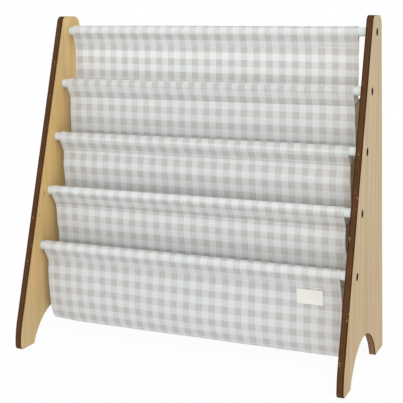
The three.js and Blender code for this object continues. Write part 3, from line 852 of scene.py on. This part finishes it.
def painted_light_drift(p, height, outward):
    """Painted light and shade: how the veneer's tone is scaled from foot to top, on the inner and on the
    outer face. It is darker at the foot, and brighter through the middle of the inner face, where the
    cloth shades it.
    """
    drift = p.mix(p.span(height, 0.05, 0.13), (0.85, 0.87, 0.95, 1), (0.97, 0.94, 0.92, 1))
    drift = p.mix(p.span(height, 0.18, 0.32), drift, (1.12, 1.11, 1.05, 1))
    drift = p.mix(p.span(height, 0.42, 0.55), drift, (1.03, 1.05, 1.06, 1))
    drift_out = p.mix(p.span(height, 0.15, 0.32), (0.965, 0.930, 0.865, 1), PLAIN)
    return p.mix(outward, drift, drift_out)


def scorch_and_shade_bores(p, veneer, place, outward):
    """Darkens the outer faces round the rims of the bolts' bores: scorch, with painted shade of the
    recesses.
    """
    for depth, height in BARS:
        off = p.vector("SUBTRACT", place, (0, depth / 1000, height / 1000))
        reach = p.length(p.stretched(off, (0, 1, 1)))
        rim = p.math("MULTIPLY", p.span(reach, 0.0068, 0.0077, 0.95, 0.0), outward)
        veneer = p.mix(rim, veneer, BORE_SCORCH_AND_SHADE)
    return veneer


def wood_paint():
    """The panels: birch veneer on both faces and a scorched cut edge between them."""
    p = Paint("birch_ply")
    place = p.object_space()
    across, depth, height = p.separate(place)
    facing = p.separate(p.node("TexCoord").outputs["Normal"])[0]
    inside = p.math("SUBTRACT", p.math("ABSOLUTE", across), PANEL_MIDDLE / 1000)
    below = p.math("SUBTRACT", BOARD / 2000, p.math("ABSOLUTE", inside))
    # 1 on a face and 0 on the cut edge, then 1 on outer faces and 0 on inner ones
    flat = p.span(below, 0.00003, 0.00016, 1.0, 0.0)
    outward = p.span(p.math("MULTIPLY", across, facing), -0.05, 0.05)
    inward = p.rest(outward)
    sweep = p.noise(p.stretched(place, (3.0, 9, 1.6)), 1.0, 2)
    sway = p.math("MULTIPLY", p.math("SUBTRACT", sweep, 0.5), 0.05)
    bent = p.vector("ADD", place, p.node("CombineXYZ", {1: sway}).outputs[0])
    streak = p.noise(p.stretched(bent, (40, 105, 2.2)), 1.0, 4, 0.6)
    fibre = p.noise(p.stretched(bent, (300, 900, 22)), 1.0, 3, 0.6)
    pore = p.noise(p.stretched(bent, (500, 1500, 60)), 1.0, 2, 0.5)
    broad = p.noise(p.stretched(bent, (12, 26, 1.2)), 1.0, 2)
    share = p.math("ADD", p.math("MULTIPLY", p.span(streak, 0.35, 0.72), 0.6),
                   p.math("MULTIPLY", p.span(broad, 0.3, 0.7), 0.4))
    # the inner faces take their yellower copies of the veneer: painted warm bounce light in their shade
    veneer = p.mix(share, p.mix(outward, *LIGHT_BIRCH), p.mix(outward, *DARK_BIRCH))
    veneer = p.mix(p.span(fibre, 0.5, 0.75, 0.0, 0.35), veneer, FIBRE)
    veneer = p.mix(p.span(pore, 0.62, 0.75, 0.0, 0.25), veneer, PORE)
    veneer = add_knots(p, veneer, place, bent, inward)
    # painted light and shade from foot to top
    veneer = p.mix(1.0, veneer, painted_light_drift(p, height, outward), "MULTIPLY")
    veneer = scorch_and_shade_bores(p, veneer, place, outward)
    edge = cut_edge(p, place, inside)
    # on the inner faces the scorch runs a little way in from the front edge
    front = p.math("MULTIPLY", height, RAKE_RUN / HEIGHT)
    behind = p.math("SUBTRACT", p.math("SUBTRACT", depth, FRONT_FOOT / 1000), front)
    singed = p.math("MULTIPLY", p.span(behind, 0.0017, 0.0034, 0.5, 0.0), inward)
    veneer = p.mix(singed, veneer, edge)
    colour = p.mix(flat, edge, veneer)
    grain = p.math("ADD", fibre, p.math("MULTIPLY", pore, 0.6))
    bumped = p.bump(grain, 0.25, 0.00018)
    rough = p.span(streak, 0.3, 0.7, 0.42, 0.58)
    sheen = p.math("MULTIPLY", flat, 0.22)
    shader = p.node("BsdfPrincipled", {"Base Color": colour, "Roughness": rough, "Normal": bumped,
                                       "Specular IOR Level": sheen})
    return p.finish(shader.outputs[0])


WHITE_COAT = [(0.585, 0.670, 0.695, 1), (0.625, 0.708, 0.725, 1)]


def white_paint():
    """The bars' white coat, slightly uneven."""
    p = Paint("white_paint")
    place = p.object_space()
    peel = p.noise(p.stretched(place, (420, 900, 900)), 1.0, 3, 0.5)
    haze = p.noise(p.stretched(place, (12, 40, 40)), 1.0, 3)
    colour = p.mix(haze, *WHITE_COAT)
    bumped = p.bump(peel, 0.15, 0.00008)
    rough = p.span(haze, 0.3, 0.7, 0.34, 0.44)
    shader = p.node("BsdfPrincipled", {"Base Color": colour, "Roughness": rough, "Normal": bumped,
                                       "Specular IOR Level": 0.3})
    return p.finish(shader.outputs[0])


def steel_paint(name, low, high, rough_low, rough_high):
    """Metal in patches between two colours."""
    p = Paint(name)
    place = p.object_space()
    brushed = p.noise(p.stretched(place, (900, 900, 900)), 1.0, 4, 0.6)
    patch = p.noise(p.stretched(place, (220, 220, 220)), 1.0, 3)
    colour = p.mix(patch, low, high)
    bumped = p.bump(brushed, 0.2, 0.00006)
    rough = p.span(brushed, 0.3, 0.7, rough_low, rough_high)
    shader = p.node("BsdfPrincipled", {"Base Color": colour, "Roughness": rough, "Normal": bumped,
                                       "Metallic": 0.9})
    return p.finish(shader.outputs[0])


FLOOR = [(0.905, 0.905, 0.900, 1), (0.920, 0.920, 0.917, 1)]


def floor_paint():
    """A pale floor that glows white from a little way off, so that it has no horizon."""
    p = Paint("studio_floor")
    place = p.object_space()
    mottled = p.noise(p.stretched(place, (3, 3, 3)), 1.0, 3)
    colour = p.mix(mottled, *FLOOR)
    matt = p.node("BsdfPrincipled", {"Base Color": colour, "Roughness": 0.9,
                                     "Specular IOR Level": 0.1})
    glow = p.node("Emission", {"Color": PLAIN, "Strength": 1.0})
    far = p.span(p.length(place), 0.6, 3.0, 0.92, 1.0)
    shader = p.node("MixShader", {0: far, 1: matt.outputs[0], 2: glow.outputs[0]})
    return p.finish(shader.outputs[0])


# Dressing the frame
def paint_node(obj, material):
    obj.data.materials.clear()
    obj.data.materials.append(material)


def soften(obj, width):
    """Rounds the sharp edges with a fine bevel."""
    bevel = obj.modifiers.new("soft_edges", "BEVEL")
    bevel.width = width
    bevel.segments = 2
    bevel.limit_method = "ANGLE"
    bevel.angle_limit = math.radians(35)


DARK_STEEL = [(0.008, 0.007, 0.006, 1), (0.022, 0.019, 0.016, 1)]
ZINC = [(0.55, 0.56, 0.58, 1), (0.68, 0.69, 0.70, 1)]

wood, white = wood_paint(), white_paint()
dark_steel = steel_paint("dark_steel", *DARK_STEEL, 0.4, 0.55)
zinc = steel_paint("zinc_steel", *ZINC, 0.28, 0.42)
gingham, thread, cotton = gingham_paint(), thread_paint(), label_paint()

for name, obj in nodes.items():
    if name.startswith("side_panel"):
        paint_node(obj, wood)
    elif name.startswith("bar_plug"):
        paint_node(obj, zinc)
    elif name.startswith("bolt"):
        paint_node(obj, dark_steel)
        soften(obj, 0.00012)
    elif name.startswith("bar_"):
        paint_node(obj, white)

slings = [Sling(number) for number in range(LAST)]
for number, sling in enumerate(slings, 1):
    cloth = cloth_mesh(sling, f"sling_{number}_cloth")
    cloth.data.materials.append(gingham)
    sewn = sling_threads(sling, f"sling_{number}_stitching")
    sewn.data.materials.append(thread)
    for piece in (cloth, sewn):
        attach(piece, "root")
    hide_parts(f"sling_{number}")


# Label, mm: its size, its left edge, its top below the lowest bar's seam, and its layers
LABEL_WIDTH, LABEL_HEIGHT = 45, 27
LABEL_LEFT, LABEL_DROP = 202.2, 5.0
LABEL_CLOTH, LABEL_PUFF, LABEL_TURNED, LABEL_DIP = 0.22, 0.26, 0.16, 0.10
LABEL_GAP, LABEL_STITCH, LABEL_CHECK = 0.06, 1.7, 24


def label_stations(size, count):
    """Places along one side of the label, closer together at its turned edges."""
    near = np.array([0, 0.25, 0.8, 1.8, 2.6])
    return np.concatenate([near, np.linspace(4, size - 4, count), (size - near)[::-1]])


def label_piece():
    """A bare cotton label with turned edges, sewn flat on the lowest pocket."""
    sling = slings[-1]
    low_x, high_x = LABEL_LEFT, LABEL_LEFT + LABEL_WIDTH
    top = sling.front_seam - LABEL_DROP
    bottom = top - LABEL_HEIGHT
    gx, gs = label_stations(LABEL_WIDTH, 22), label_stations(LABEL_HEIGHT, 12)
    xx, ss = np.meshgrid(low_x + gx, top - gs, indexing="ij")
    inward = np.minimum(np.minimum(xx - low_x, high_x - xx), np.minimum(top - ss, ss - bottom))
    edge = smooth(inward, -0.1, 0.8)
    turned = LABEL_TURNED * (1 - smooth(inward, 2.2, 3.6))
    dip = LABEL_DIP * hump(inward, LABEL_STITCH, 0.5)
    pillow = 0.12 * waves(xx, 71, [31, 17]) * smooth(inward, 1.5, 6)
    base = CLOTH / 2 + LABEL_GAP
    outer = base + LABEL_CLOTH + LABEL_PUFF * edge + turned - dip + pillow
    inner = np.full_like(outer, base) + 0.1 * (1 - edge)
    count_x, count_s = xx.shape
    front = sling.surface(xx, ss, outer).reshape(-1, 3)
    back = sling.surface(xx, ss, inner).reshape(-1, 3)
    i, j = np.meshgrid(np.arange(count_x - 1), np.arange(count_s - 1), indexing="ij")
    a, b = i * count_s + j, (i + 1) * count_s + j
    quads = np.stack([a, a + 1, b + 1, b], -1).reshape(-1, 4)
    total = count_x * count_s
    under = quads[:, ::-1] + total
    # the rim joins both faces, once round the grid of points
    grid = np.arange(total).reshape(count_x, count_s)
    ring = np.concatenate([grid[0], grid[1:, -1], grid[-1, -2::-1], grid[-2:0:-1, 0]])
    after = np.roll(ring, -1)
    rim = np.stack([ring, ring + total, after + total, after], -1)
    faces = np.vstack([quads, under, rim])
    flat_u = np.tile(((xx - low_x) / LABEL_CHECK).ravel(), 2)
    flat_v = np.tile(((top - ss) / LABEL_CHECK).ravel(), 2)
    uv = np.stack([flat_u[faces], flat_v[faces]], -1).reshape(-1, 2)
    label = make_mesh("label_sewn", np.vstack([front, back]), faces, uv)
    label.data.materials.append(cotton)
    verts, thread_faces = [], []
    lift = base + LABEL_CLOTH + LABEL_PUFF + LABEL_TURNED - LABEL_DIP
    far_x, far_s = LABEL_WIDTH - LABEL_STITCH, LABEL_HEIGHT - LABEL_STITCH
    corners = [(LABEL_STITCH, LABEL_STITCH), (far_x, LABEL_STITCH), (far_x, far_s), (LABEL_STITCH, far_s)]
    for number, (start, end) in enumerate(zip(corners, corners[1:] + corners[:1])):
        px = np.linspace(start[0], end[0], 60) + low_x
        ps = top - np.linspace(start[1], end[1], 60)
        stitch = {"length": 1.9, "gap": 0.6, "radius": 0.15, "seed": 70 + number}
        add_stitches(verts, thread_faces, sling, px, ps, lift, **stitch)
    sewn = make_mesh("label_stitching", verts, thread_faces)
    sewn.data.materials.append(thread)
    for piece in (label, sewn):
        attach(piece, "root")
    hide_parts("label")


label_piece()

# Floor, light and camera
bpy.ops.mesh.primitive_circle_add(vertices=96, radius=9, fill_type="NGON", location=(0, 0, -0.0003))
floor = bpy.context.object
floor.name = "studio_floor"
floor.data.materials.append(floor_paint())

world = bpy.data.worlds.new("studio")
bpy.context.scene.world = world
world.use_nodes = True
sky = world.node_tree.nodes["Background"]
sky.inputs["Color"].default_value = PLAIN
sky.inputs["Strength"].default_value = 1.0


def area_light(name, place, turn, size, power):
    data = bpy.data.lights.new(name, "AREA")
    data.shape = "RECTANGLE"
    data.size, data.size_y = size
    data.energy = power
    light = bpy.data.objects.new(name, data)
    light.location = place
    light.rotation_euler = Euler([math.radians(a) for a in turn])
    bpy.context.scene.collection.objects.link(light)


area_light("key", (1.2, -2.0, 2.4), (45, 0, 28), (1.8, 1.8), 15)
area_light("fill", (0.9, -2.6, 0.9), (77.7, 0, 19.1), (1.6, 1.6), 21)

camera_data = bpy.data.cameras.new("photo_view")
camera_data.lens = 85.798
camera_data.sensor_width = 36
camera_data.shift_y = -0.1898
camera_data.clip_end = 60
camera = bpy.data.objects.new("photo_view", camera_data)
camera.location = (0.6740, -1.5877, 0.5914)
camera.rotation_euler = Euler((math.radians(84.118), 0, math.radians(22.919)))
bpy.context.scene.collection.objects.link(camera)
bpy.context.scene.camera = camera
bpy.context.scene.view_settings.view_transform = "Standard"
bpy.context.scene.view_settings.look = "None"
